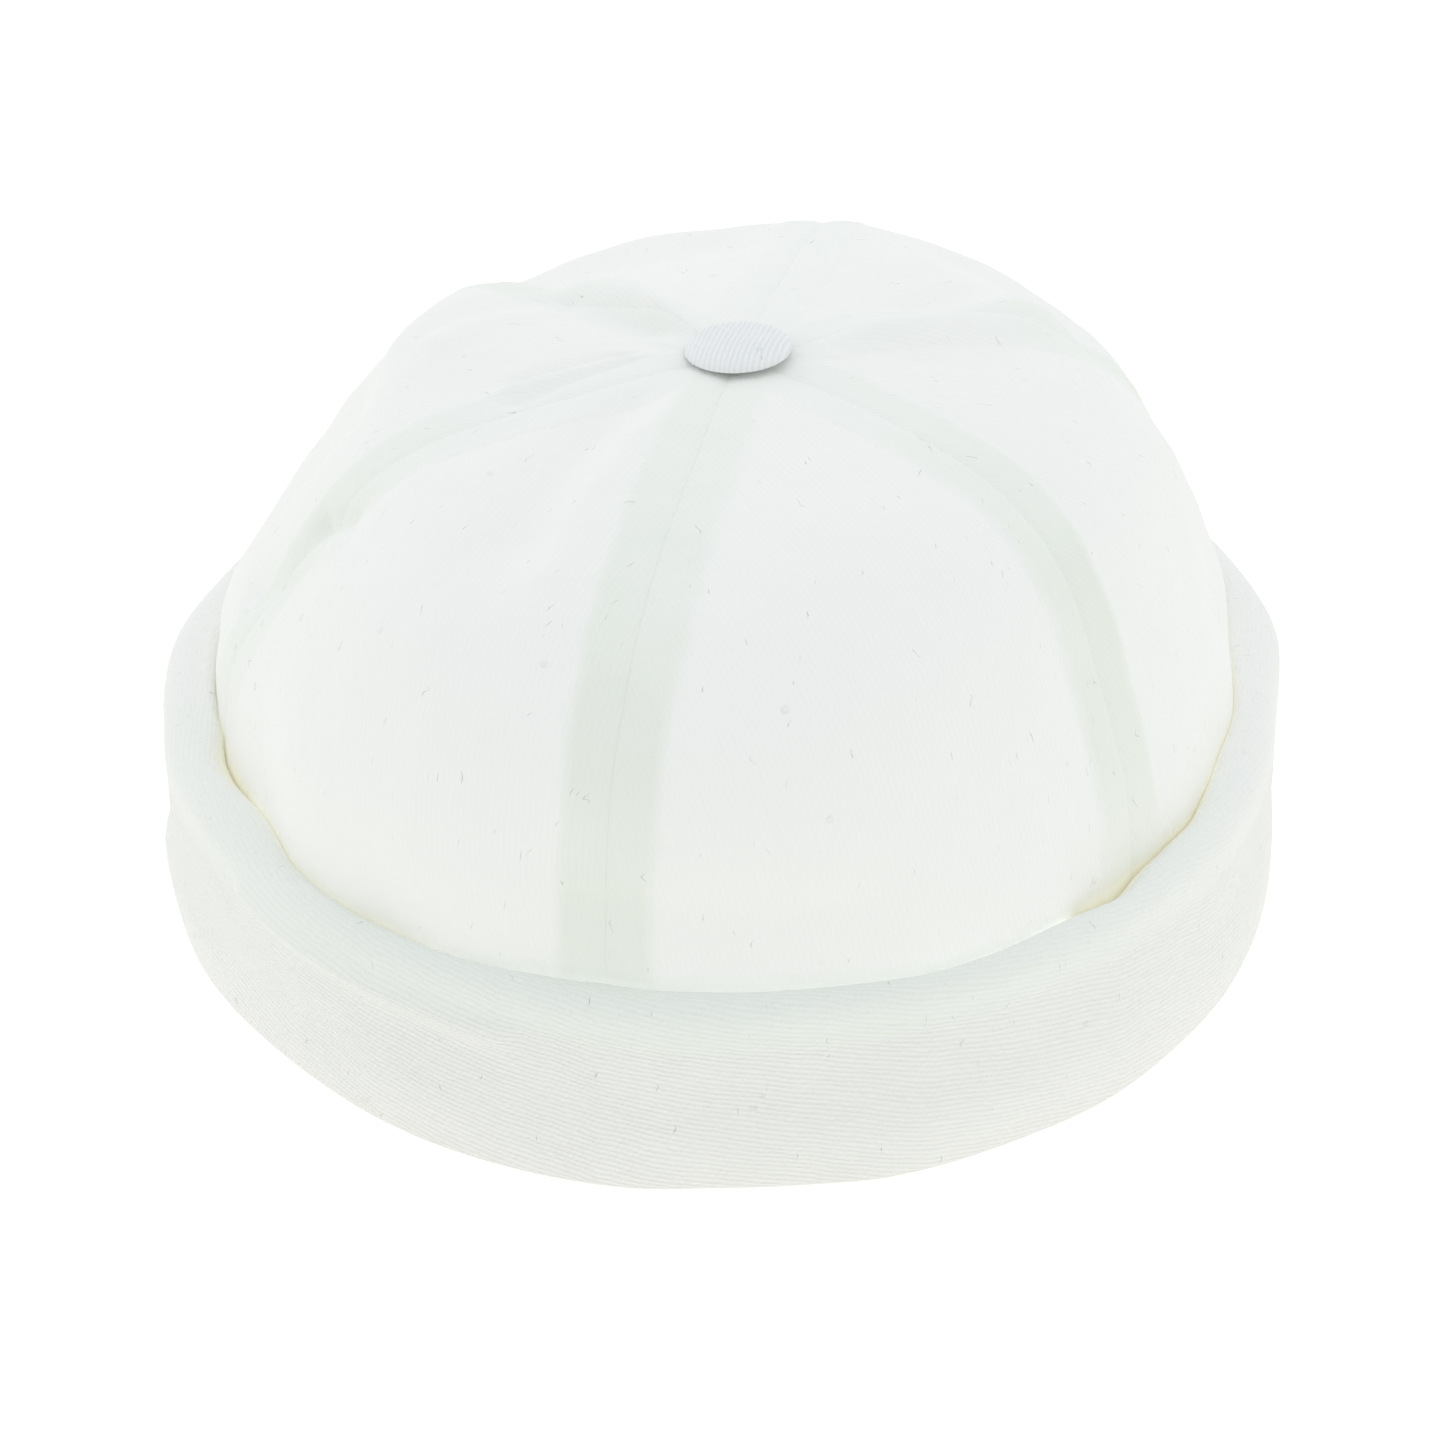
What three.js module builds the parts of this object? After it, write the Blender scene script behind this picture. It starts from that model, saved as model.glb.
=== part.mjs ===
// Docker cap: a brimless six-panel cap of white cotton twill with a turned-up cuff and a covered
// button. It stands on the fold of its cuff, crown up and hollow below, as on a table.
// Millimetres, +Z up. The origin is on the table under the middle of the cuff, the seam of the
// centre front is towards -Y and the wearer's left hand is towards +X. Azimuths are in degrees
// from the centre front, growing towards +X.
import * as THREE from "three";

const { clamp, degToRad, lerp, smoothstep } = THREE.MathUtils;

// ---- Driving dimensions -----------------------------------------------------------------

const PANELS = 6;
const CLOTH = 1.2; // thickness of a crown panel
const MEETING_GAP = 0.3; // clearance between two pieces that are sewn together

const CROWN_AXIS = { x: 2.5, y: 3 }; // the crown leans a little to one side of the cuff's middle
const CROWN_PUFF = 2; // how far a panel's middle stands out beyond its seams
const CROWN_HOLE = 0.987; // rise at which the panels end, round the button's shank
const BUTTON_HOLD = 0.12; // share of the rise over which the button calms the folds

const TAPE_HALF_WIDTH = 8; // seam allowance pressed open to each side
const TAPE_SHARE = 0.42; // of a panel's breadth, which narrows the tapes near the button
const TAPE_THICKNESS = 1;
const TAPE_END = 0.965; // rise at which a tape ends below the button

const CUFF = {
  halfWidth: 99,
  halfLength: 103,
  height: 36,
  wall: 3.6, // thickness of the turned-up layers below the roll
  roll: 3.2, // depth of the rounding over the soft roll along the top edge
  hem: 7.5, // depth of the roll's doubled hem
  hemRelief: 0.4, // how far the hem stands proud of the wall
  clearance: 0.8, // between the roll and the crown
  lip: 2.4, // thickness of the inner fold that carries the crown
  lipHeight: 5.7,
  floor: 3, // thickness of the bottom fold
  footRound: 1.5, // rounding of the bottom edges
};

const BUTTON = {
  radius: 9.1,
  dome: 2.4, // height of the dome above its widest ring
  under: 0.4, // height of the rounded underside
  seat: 0.9, // height of its underside above the crown's top
  tilt: 3, // degrees by which the +X edge is tipped up
  shankRadius: 1.8,
  plateRadius: 5.5, // back plate inside the cap
  plateDrop: 2.2, // from the crown's top down to the plate
  plateThickness: 1,
  segments: 28,
};

// Crown rings from the hem to the button: height above the table, and how far the cloth reaches
// from the crown's axis to the front, right, back and left. Rise is the share of this table.
const RINGS = [
  { height: 6, front: 98.5, right: 86.5, back: 93.5, left: 89 },
  { height: 20, front: 100.5, right: 87.5, back: 94.5, left: 91.5 },
  { height: 36, front: 100.5, right: 87, back: 95, left: 91.5 },
  { height: 52, front: 99.5, right: 84, back: 94.5, left: 87.5 },
  { height: 68, front: 94, right: 76.5, back: 90.5, left: 76 },
  { height: 79.5, front: 83, right: 68.5, back: 84.5, left: 66 },
  { height: 87, front: 68.5, right: 57.5, back: 74.5, left: 56 },
  { height: 91, front: 48.5, right: 42.5, back: 58, left: 40.5 },
  { height: 93.2, front: 25, right: 21, back: 30, left: 20 },
  { height: 93.8, front: 0, right: 0, back: 0, left: 0 },
];
const CROWN_TOP = RINGS[RINGS.length - 1].height;

// The six seams wander a little in the slack cloth: azimuth at the hem and at the crown's top
const SEAMS = [
  { name: "front", hem: 0, top: 0 },
  { name: "front right", hem: 55, top: 63 },
  { name: "back right", hem: 119, top: 125 },
  { name: "back", hem: 180, top: 179 },
  { name: "back left", hem: 242, top: 235 },
  { name: "front left", hem: 299, top: 304 },
];

// Dents and swells of the slack crown: each runs from one azimuth and rise to another, with its
// half breadth and its height, both in millimetres; a negative height is a dent
const FOLDS = [
  { name: "left shoulder", from: [238, 0.66], to: [266, 0.66], breadth: 13, height: 3.8 },
  { name: "left waist swell", from: [262, 0.52], to: [258, 0.46], breadth: 9, height: 1.2 },
  { name: "back left slope", from: [198, 0.72], to: [226, 0.7], breadth: 17, height: -6 },
  { name: "back ridge", from: [176, 0.7], to: [186, 0.6], breadth: 9, height: 0.9 },
  { name: "right top ridge", from: [121, 0.86], to: [129, 0.69], breadth: 9, height: 3.6 },
  { name: "right back hollow", from: [154, 0.67], to: [136, 0.62], breadth: 12, height: -3.6 },
  { name: "right back swell", from: [134, 0.52], to: [128, 0.46], breadth: 8, height: 1.2 },
  { name: "right side swell", from: [104, 0.46], to: [99, 0.36], breadth: 12, height: 1.1 },
  { name: "right side ease", from: [98, 0.385], to: [94, 0.34], breadth: 8, height: -2.2 },
  { name: "left side flat", from: [273, 0.5], to: [273, 0.41], breadth: 12, height: -3.6 },
  { name: "back left ridge", from: [234, 0.92], to: [230, 0.78], breadth: 8, height: 2.8 },
  { name: "front left valley", from: [325, 0.88], to: [338, 0.68], breadth: 8, height: -1.8 },
  { name: "front left ridge", from: [342, 0.85], to: [349, 0.62], breadth: 7, height: 1 },
  { name: "left crease", from: [306, 0.56], to: [296, 0.4], breadth: 6, height: -1 },
  { name: "front tuck", from: [358, 0.31], to: [24, 0.31], breadth: 5, height: -0.8 },
  { name: "front right swell", from: [34, 0.2], to: [64, 0.2], breadth: 16, height: 2.2 },
  { name: "front left pull", from: [314, 0.3], to: [318, 0.14], breadth: 11, height: -2.2 },
  { name: "front left ease", from: [338, 0.26], to: [356, 0.2], breadth: 12, height: -0.6 },
];
const CROWN_ARC = 150; // length of the cloth from hem to button, used to lay out the folds
const DEGREE_BREADTH = 1.6; // breadth of one degree of azimuth at the hem

// How far the cuff's outer face stands out beyond its plain oval, every 30 degrees: at the foot, a
// third and two thirds of the way up, and at the top edge
const CUFF_TURNS = [
  { azimuth: 0, foot: 1.9, waist: 1, shoulder: 0.6, rim: -0.2 },
  { azimuth: 30, foot: 2.6, waist: 1.6, shoulder: 1, rim: 0.6 },
  { azimuth: 60, foot: 2.7, waist: 1.4, shoulder: 0.9, rim: 0.4 },
  { azimuth: 90, foot: 1.8, waist: 0.8, shoulder: 0.4, rim: -1.1 },
  { azimuth: 120, foot: 1, waist: 0.5, shoulder: 1.8, rim: 3.3 },
  { azimuth: 150, foot: 0.6, waist: 0, shoulder: 0.4, rim: 1.2 },
  { azimuth: 180, foot: 0.4, waist: 0.3, shoulder: 0, rim: 0 },
  { azimuth: 210, foot: 0.4, waist: 0, shoulder: 0.2, rim: 0 },
  { azimuth: 240, foot: 0.8, waist: 0.4, shoulder: 0.6, rim: -1 },
  { azimuth: 270, foot: 2.2, waist: 1.3, shoulder: 1.4, rim: -1.8 },
  { azimuth: 300, foot: 0.3, waist: -0.6, shoulder: -0.7, rim: -1.2 },
  { azimuth: 330, foot: 0.2, waist: -0.4, shoulder: -0.5, rim: -1 },
];

// Where the cuff's roll stands off the crown: azimuth and half breadth in degrees, and width
const SLITS = [
  { name: "left", azimuth: -55, spread: 6.5, width: 2.2 },
  { name: "left front", azimuth: -22, spread: 8, width: 0.8 },
  { name: "right front", azimuth: 53.5, spread: 5, width: 2.8 },
  { name: "right", azimuth: 67, spread: 11, width: 1.3 },
  { name: "right back", azimuth: 119, spread: 9, width: 3.6 },
  { name: "left back", azimuth: -94, spread: 14, width: 0.9 },
];

// Facets: steps along a tape, steps across the part of a panel between its two tapes, and
// sections round the cuff
const RISE_STEPS = 15;
const MIDDLE_STEPS = 6;
const CUFF_SECTIONS = 60;

// ---- Materials --------------------------------------------------------------------------

const twill = new THREE.MeshStandardMaterial({ color: 0xeef1ee, roughness: 0.95, metalness: 0 });
const cuffTwill = new THREE.MeshStandardMaterial({ color: 0xe6e9e4, roughness: 0.95, metalness: 0 });
const tapeCloth = new THREE.MeshStandardMaterial({ color: 0xe5eae6, roughness: 0.95, metalness: 0 });
const buttonTwill = new THREE.MeshStandardMaterial({ color: 0xe3e7ea, roughness: 0.9, metalness: 0 });

// ---- Shape of the crown -----------------------------------------------------------------

const ringColumns = Object.fromEntries(
  Object.keys(RINGS[0]).map((name) => [name, RINGS.map((row) => row[name])]),
);

// Smooth value between the two middle ones of four values in a row
function smoothBetween(before, here, next, after, part) {
  const cubic = 3 * (here - next) + after - before;
  const square = 2 * before - 5 * here + 4 * next - after;
  return here + 0.5 * part * (next - before + part * (square + part * cubic));
}

// Smooth value of a table column at a share of its length, through all its rows
function valueAlong(values, share) {
  const last = values.length - 1;
  const place = clamp(share, 0, 1) * last;
  const row = Math.min(Math.floor(place), last - 1);
  const here = values[row];
  const next = values[row + 1];
  const before = row > 0 ? values[row - 1] : 2 * here - next;
  const after = row + 2 <= last ? values[row + 2] : 2 * next - here;
  return smoothBetween(before, here, next, after, place - row);
}

// Unit vector that points away from the crown's axis at an azimuth
function outward(azimuth) {
  return new THREE.Vector3(Math.sin(degToRad(azimuth)), -Math.cos(degToRad(azimuth)), 0);
}

// Reach of the smooth crown: a quarter of an ellipse between each two of the four directions
function crownReach(azimuth, rise) {
  const away = outward(azimuth);
  const across = Math.max(valueAlong(ringColumns[away.x >= 0 ? "right" : "left"], rise), 1e-6);
  const along = Math.max(valueAlong(ringColumns[away.y >= 0 ? "back" : "front"], rise), 1e-6);
  return 1 / Math.hypot(away.x / across, away.y / along);
}

function smoothCrownPoint(azimuth, rise) {
  const point = outward(azimuth).multiplyScalar(crownReach(azimuth, rise));
  return point.add(new THREE.Vector3(CROWN_AXIS.x, CROWN_AXIS.y, valueAlong(ringColumns.height, rise)));
}

function smoothCrownNormal(azimuth, rise) {
  const turn = 0.1;
  const climb = 0.001;
  const inside = clamp(rise, 0.002, 0.985);
  const round = smoothCrownPoint(azimuth + turn, inside).sub(smoothCrownPoint(azimuth - turn, inside));
  const up = smoothCrownPoint(azimuth, inside + climb).sub(smoothCrownPoint(azimuth, inside - climb));
  return round.cross(up).normalize();
}

function seamAzimuth(index, rise) {
  const seam = SEAMS[index % PANELS];
  const turns = 360 * Math.floor(index / PANELS);
  return turns + lerp(seam.hem, seam.top, clamp(1.25 * rise, 0, 1) ** 2);
}

function wrapDegrees(angle) {
  return ((((angle + 180) % 360) + 360) % 360) - 180;
}

// Height of one fold at a point of the crown, from its distance to the fold's line
function foldHeight(fold, azimuth, rise) {
  const degree = DEGREE_BREADTH * Math.sqrt(Math.max(1 - rise * rise, 0));
  const endDegree = DEGREE_BREADTH * Math.sqrt(Math.max(1 - fold.to[1] * fold.to[1], 0));
  const point = new THREE.Vector2(
    wrapDegrees(azimuth - fold.from[0]) * degree,
    (rise - fold.from[1]) * CROWN_ARC,
  );
  const line = new THREE.Vector2(
    wrapDegrees(fold.to[0] - fold.from[0]) * endDegree,
    (fold.to[1] - fold.from[1]) * CROWN_ARC,
  );
  const share = clamp(point.dot(line) / line.lengthSq(), 0, 1);
  const distance = point.addScaledVector(line, -share).length();
  return fold.height * Math.exp(-((distance / fold.breadth) ** 2));
}

// Point of the crown cloth. bulge is 0 on a seam and 1 on a panel's middle, and depth is how far
// the point lies inside the cloth's outer face.
function crownPoint(azimuth, rise, bulge, depth) {
  const puff = CROWN_PUFF * (bulge - 0.5) * Math.sin(Math.PI * clamp(rise, 0, 1)) ** 0.7;
  const folds = FOLDS.reduce((sum, fold) => sum + foldHeight(fold, azimuth, rise), 0);
  const freedom = smoothstep(1 - rise, 0, BUTTON_HOLD);
  const lift = smoothCrownNormal(azimuth, rise).multiplyScalar(puff + freedom * folds - depth);
  return smoothCrownPoint(azimuth, rise).add(lift);
}

// Azimuths across a panel at one rise: its two edges, the edges and middles of the two tapes
// below it, and even steps between the tapes
function panelStations(panel, rise) {
  const left = seamAzimuth(panel, rise);
  const right = seamAzimuth(panel + 1, rise);
  const reach = crownReach((left + right) / 2, rise);
  const millimetre = 1 / degToRad(reach); // degrees in a millimetre of arc
  const tape = Math.min(TAPE_HALF_WIDTH * millimetre, TAPE_SHARE * (right - left));
  const edge = (MEETING_GAP / 2) * millimetre;
  const stations = [left + edge, left + tape / 2];
  for (let step = 0; step <= MIDDLE_STEPS; step += 1) {
    stations.push(lerp(left + tape, right - tape, step / MIDDLE_STEPS));
  }
  stations.push(right - tape / 2, right - edge);
  return stations.map((azimuth) => ({
    azimuth,
    bulge: Math.sin(Math.PI * clamp((azimuth - left) / (right - left), 0, 1)),
  }));
}

// ---- Closed shells ----------------------------------------------------------------------

function bufferGeometry(points, triangles) {
  const geometry = new THREE.BufferGeometry().setFromPoints(points);
  geometry.setIndex(triangles);
  geometry.computeVertexNormals();
  return geometry;
}

// A wall between an outer and an inner grid of points, both indexed [column][row], with columns
// that follow the azimuth and rows that climb
function wallGeometry(outer, inner) {
  const columns = outer.length;
  const rows = outer[0].length;
  const count = columns * rows;
  const triangles = [];
  const quad = (a, b, c, d) => triangles.push(a, b, c, a, c, d);
  const at = (column, row) => column * rows + row;
  for (let column = 0; column < columns - 1; column += 1) {
    for (let row = 0; row < rows - 1; row += 1) {
      const [a, b] = [at(column, row), at(column + 1, row)];
      const [c, d] = [at(column + 1, row + 1), at(column, row + 1)];
      quad(a, b, c, d);
      quad(count + a, count + d, count + c, count + b);
    }
  }
  const rim = [];
  for (let column = 0; column < columns - 1; column += 1) rim.push(at(column, 0));
  for (let row = 0; row < rows - 1; row += 1) rim.push(at(columns - 1, row));
  for (let column = columns - 1; column > 0; column -= 1) rim.push(at(column, rows - 1));
  for (let row = rows - 1; row > 0; row -= 1) rim.push(at(0, row));
  rim.forEach((from, index) => {
    const to = rim[(index + 1) % rim.length];
    quad(from, count + from, count + to, to);
  });
  return bufferGeometry([...outer.flat(), ...inner.flat()], triangles);
}

// A ring swept through closed sections, each running round in the same order
function ringGeometry(sections) {
  const corners = sections[0].length;
  const triangles = [];
  sections.forEach((section, index) => {
    const here = index * corners;
    const next = ((index + 1) % sections.length) * corners;
    for (let corner = 0; corner < corners; corner += 1) {
      const after = (corner + 1) % corners;
      triangles.push(here + corner, next + corner, next + after);
      triangles.push(here + corner, next + after, here + after);
    }
  });
  return bufferGeometry(sections.flat(), triangles);
}

// ---- Pieces -----------------------------------------------------------------------------

const tapeRises = Array.from({ length: RISE_STEPS + 1 }, (_, step) => (TAPE_END * step) / RISE_STEPS);
const panelRises = [...tapeRises, CROWN_HOLE];

// Grid of cloth points at a depth, [station][rise], from the stations found at each rise
function clothGrid(rises, stationsAt, depth) {
  const rows = rises.map(stationsAt);
  return rows[0].map((_, column) => rises.map((rise, row) => {
    const { azimuth, bulge } = rows[row][column];
    return crownPoint(azimuth, rise, bulge, depth);
  }));
}

function crownPanel(panel) {
  const stationsAt = (rise) => panelStations(panel, rise);
  const outer = clothGrid(panelRises, stationsAt, 0);
  return wallGeometry(outer, clothGrid(panelRises, stationsAt, CLOTH));
}

// The tape lies under the margins of two neighbouring panels and shares their stations
function seamTape(seam) {
  const stationsAt = (rise) => [
    ...panelStations(seam + PANELS - 1, rise).slice(-3),
    ...panelStations(seam + PANELS, rise).slice(0, 3),
  ];
  const top = CLOTH + MEETING_GAP;
  const outer = clothGrid(tapeRises, stationsAt, top);
  return wallGeometry(outer, clothGrid(tapeRises, stationsAt, top + TAPE_THICKNESS));
}

function bulgeAt(azimuth, rise) {
  for (let panel = 0; panel < PANELS; panel += 1) {
    const left = seamAzimuth(panel, rise);
    const right = seamAzimuth(panel + 1, rise);
    if (azimuth >= left && azimuth <= right) {
      return Math.sin((Math.PI * (azimuth - left)) / (right - left));
    }
  }
  throw new Error(`no panel at azimuth ${azimuth}`);
}

// How far the cuff's outer face stands out beyond its oval
function cuffSwell(azimuth, height) {
  const place = (azimuth / 360) * CUFF_TURNS.length;
  const row = Math.floor(place);
  const turns = [-1, 0, 1, 2].map((step) => {
    const turn = CUFF_TURNS[(row + step + CUFF_TURNS.length) % CUFF_TURNS.length];
    return valueAlong([turn.foot, turn.waist, turn.shoulder, turn.rim], height / CUFF.height);
  });
  return smoothBetween(...turns, place - row);
}

function slitWidth(azimuth) {
  const share = (slit) => Math.exp(-((wrapDegrees(azimuth - slit.azimuth) / slit.spread) ** 2));
  return SLITS.reduce((sum, slit) => sum + slit.width * share(slit), 0);
}

// Rise at which the smooth crown reaches a height
function riseAt(height) {
  let low = 0;
  let high = 1;
  for (let halving = 0; halving < 30; halving += 1) {
    const middle = (low + high) / 2;
    if (valueAlong(ringColumns.height, middle) < height) low = middle;
    else high = middle;
  }
  return low;
}

// One section of the cuff, from the top of the inner lip down, out along the floor, up the outer
// face, over the roll and down its inner face into the channel behind the crown
function cuffSection(azimuth) {
  const away = outward(azimuth);
  const oval = 1 / Math.hypot(away.x / CUFF.halfWidth, away.y / CUFF.halfLength);
  const shifted = (point, offset, height) => point.addScaledVector(away, offset).setZ(height);
  const fromOuter = (offset, height) => (
    shifted(away.clone().multiplyScalar(oval), offset + cuffSwell(azimuth, height), height)
  );
  const fromCrown = (offset, height) => {
    const rise = riseAt(height);
    return shifted(crownPoint(azimuth, rise, bulgeAt(azimuth, rise), 0), offset, height);
  };
  const fromHem = (offset, height) => fromCrown(offset, RINGS[0].height).setZ(height);
  const overRoll = (share, height) => (
    fromCrown(CUFF.clearance, height).lerp(fromOuter(CUFF.hemRelief, height), share)
  );
  const top = CUFF.height;
  const hemFoot = top - CUFF.hem;
  const round = CUFF.footRound;
  const slit = slitWidth(azimuth);
  const slitFoot = top - 1.6 - slit;
  return [
    fromHem(0, CUFF.lipHeight),
    fromHem(-CUFF.lip, CUFF.lipHeight),
    fromHem(-CUFF.lip, round / 2),
    fromHem(-CUFF.lip + round / 2, 0),
    fromOuter(-round, 0),
    fromOuter(0, round),
    fromOuter(0, top / 3),
    fromOuter(0, hemFoot - 0.6),
    fromOuter(CUFF.hemRelief, hemFoot),
    fromOuter(CUFF.hemRelief, top - CUFF.roll),
    overRoll(0.9, top - 0.4 * CUFF.roll),
    overRoll(0.5, top),
    fromCrown(CUFF.clearance + slit + 0.4, top - 0.5),
    fromCrown(CUFF.clearance + slit / 2, (top + slitFoot) / 2 - 0.5),
    fromCrown(CUFF.clearance, slitFoot),
    fromCrown(CUFF.clearance, hemFoot - 1),
    fromOuter(-CUFF.wall, hemFoot - CUFF.wall),
    fromOuter(-CUFF.wall, CUFF.floor),
    fromHem(0, CUFF.floor),
  ];
}

function cuffGeometry() {
  const sections = [];
  for (let section = 0; section < CUFF_SECTIONS; section += 1) {
    sections.push(cuffSection((360 * section) / CUFF_SECTIONS));
  }
  return ringGeometry(sections);
}

// The button about the point where its shank passes the crown's top
function buttonGeometry() {
  const plateTop = -BUTTON.plateDrop;
  const plateFoot = plateTop - BUTTON.plateThickness;
  const widest = BUTTON.seat + BUTTON.under;
  const outline = new THREE.Path();
  outline.moveTo(0, plateFoot);
  outline.lineTo(BUTTON.plateRadius, plateFoot);
  outline.lineTo(BUTTON.plateRadius, plateTop);
  outline.lineTo(BUTTON.shankRadius, plateTop);
  outline.lineTo(BUTTON.shankRadius, BUTTON.seat);
  outline.lineTo(BUTTON.radius - BUTTON.under, BUTTON.seat);
  outline.quadraticCurveTo(BUTTON.radius, BUTTON.seat, BUTTON.radius, widest);
  outline.bezierCurveTo(
    BUTTON.radius, widest + 0.55 * BUTTON.dome,
    0.55 * BUTTON.radius, widest + BUTTON.dome,
    0, widest + BUTTON.dome,
  );
  const button = new THREE.LatheGeometry(outline.getPoints(4), BUTTON.segments);
  button.rotateX(Math.PI / 2);
  return button.rotateY(-degToRad(BUTTON.tilt));
}

// ---- Assembly ---------------------------------------------------------------------------

const cap = new THREE.Group();

function addPiece(name, geometry, material) {
  const mesh = new THREE.Mesh(geometry, material);
  mesh.name = name;
  cap.add(mesh);
  return mesh;
}

for (let index = 0; index < PANELS; index += 1) {
  addPiece(`crown_panel_${index + 1}`, crownPanel(index), twill.clone());
  addPiece(`seam_tape_${index + 1}`, seamTape(index), tapeCloth.clone());
}
addPiece("cuff", cuffGeometry(), cuffTwill);
const button = addPiece("top_button", buttonGeometry(), buttonTwill);
button.position.set(CROWN_AXIS.x, CROWN_AXIS.y, CROWN_TOP);

export default cap;
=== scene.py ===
"""Docker cap: a brimless six-panel cap of white cotton twill with a turned-up cuff and a covered
button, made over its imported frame. It stands on the fold of its cuff, centre front towards -Y."""

import math
from collections import namedtuple

import bpy
import numpy as np
from bpy.props import FloatProperty, FloatVectorProperty, IntProperty, PointerProperty
from bpy.types import Operator, Panel, PropertyGroup
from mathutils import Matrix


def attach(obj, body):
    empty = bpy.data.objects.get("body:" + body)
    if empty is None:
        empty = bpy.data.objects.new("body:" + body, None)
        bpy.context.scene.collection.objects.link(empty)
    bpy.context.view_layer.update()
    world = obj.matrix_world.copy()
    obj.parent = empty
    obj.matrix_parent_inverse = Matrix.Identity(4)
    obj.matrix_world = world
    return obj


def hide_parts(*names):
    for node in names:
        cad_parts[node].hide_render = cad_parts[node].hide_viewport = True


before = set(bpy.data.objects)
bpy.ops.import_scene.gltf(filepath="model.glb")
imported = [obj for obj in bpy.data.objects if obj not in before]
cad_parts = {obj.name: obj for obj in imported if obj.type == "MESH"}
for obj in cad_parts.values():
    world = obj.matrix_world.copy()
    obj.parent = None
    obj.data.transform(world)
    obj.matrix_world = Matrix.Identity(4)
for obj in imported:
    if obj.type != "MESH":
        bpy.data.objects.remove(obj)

bl_info = {
    "name": "Docker Cap",
    "version": (1, 0, 0),
    "blender": (4, 5, 0),
    "location": "3D View > Sidebar > Docker Cap",
    "description": "Makes a twill docker cap with its folds, seams, cuff and button",
    "category": "Object",
}

# The finishes read these attributes of a piece's vertices: seam_near, millimetres of cloth from
# the nearest seam; seam_show and hem_show, how plainly doubled cloth shows; rib_show, how much the
# ribs stand out; the tucked mark, 1 between crown and cuff, where painted light and a painted glow
# go; and the parted mark, 1 where those two stand apart, where painted warm shade goes.
CLOTH_MAP = "cloth"  # UV map in millimetres along the weave
MM = 0.001
PANELS = 6
RIB_ROUND = 0.7  # power that rounds the ribs: below 1 they are broad, with narrow valleys
FLOAT_YARNS = 2.4  # length of a float along its rib, in yarns
NEP_SCALE = 105.0  # neps in a metre of cloth, as a texture scale
LINT_CURL = 4.0  # how far a fibre of lint strays from its line, in millimetres
LINT_CELLS = (0.7, 0.08, 0.1)  # fibres in a millimetre across and along the cloth
LINT_COLOUR = (0.12, 0.13, 0.13)
# Painted shade in the valleys between the ribs, mixed in with the cloth's own darker fuzz, mottling
# and neps
YARN_SHADE_AND_MOTTLE = (0.3, 0.36, 0.28)  # colour in the valleys between ribs
LIGHTS_AIM = (0, 0, 0.05)


def table(kind, *rows):
    """Rows of one kind of named tuple"""
    return tuple(kind(*row) for row in rows)


# ---- Shape tables: millimetres, degrees of azimuth from the centre front towards +X ----

# Rings of the crown from hem to button: height, and reach from the crown's axis in 4 directions
RINGS = {
    "height": (6, 20, 36, 52, 68, 79.5, 87, 91, 93.2, 93.8),
    "front": (98.5, 100.5, 100.5, 99.5, 94, 83, 68.5, 48.5, 25, 0),
    "right": (86.5, 87.5, 87, 84, 76.5, 68.5, 57.5, 42.5, 21, 0),
    "back": (93.5, 94.5, 95, 94.5, 90.5, 84.5, 74.5, 58, 30, 0),
    "left": (89, 91.5, 91.5, 87.5, 76, 66, 56, 40.5, 20, 0),
}

# Azimuth of each seam at the hem and at the top of the crown, and how plainly its band shows
Seam = namedtuple("Seam", "name hem top show")
SEAMS = table(
    Seam,
    ("front", 0, 0, 1),
    ("front right", 55, 63, 0.85),
    ("back right", 119, 125, 0.5),
    ("back", 180, 179, 0.3),
    ("back left", 242, 235, 0.45),
    ("front left", 299, 304, 0.5),
)

# Dents and swells: a line from one place to another, a half breadth and a height
Fold = namedtuple("Fold", "name azimuth rise to_azimuth to_rise breadth height")
FOLDS = table(
    Fold,
    ("left shoulder", 238, 0.66, 266, 0.66, 13, 3.8),
    ("left waist swell", 262, 0.52, 258, 0.46, 9, 1.2),
    ("back left slope", 198, 0.72, 226, 0.7, 17, -6),
    ("back ridge", 176, 0.7, 186, 0.6, 9, 0.9),
    ("right top ridge", 121, 0.86, 129, 0.69, 9, 3.6),
    ("right back hollow", 154, 0.67, 136, 0.62, 12, -3.6),
    ("right back swell", 134, 0.52, 128, 0.46, 8, 1.2),
    ("right side swell", 104, 0.46, 99, 0.36, 12, 1.1),
    ("right side ease", 98, 0.385, 94, 0.34, 8, -2.2),
    ("left side flat", 273, 0.5, 273, 0.41, 12, -3.6),
    ("back left ridge", 234, 0.92, 230, 0.78, 8, 2.8),
    ("front left valley", 325, 0.88, 338, 0.68, 8, -1.8),
    ("front left ridge", 342, 0.85, 349, 0.62, 7, 1),
    ("left crease", 306, 0.56, 296, 0.4, 6, -1),
    ("front tuck", 358, 0.31, 24, 0.31, 5, -0.8),
    ("front right swell", 34, 0.2, 64, 0.2, 16, 2.2),
    ("front left pull", 314, 0.3, 318, 0.14, 11, -2.2),
    ("front left ease", 338, 0.26, 356, 0.2, 12, -0.6),
)

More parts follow.
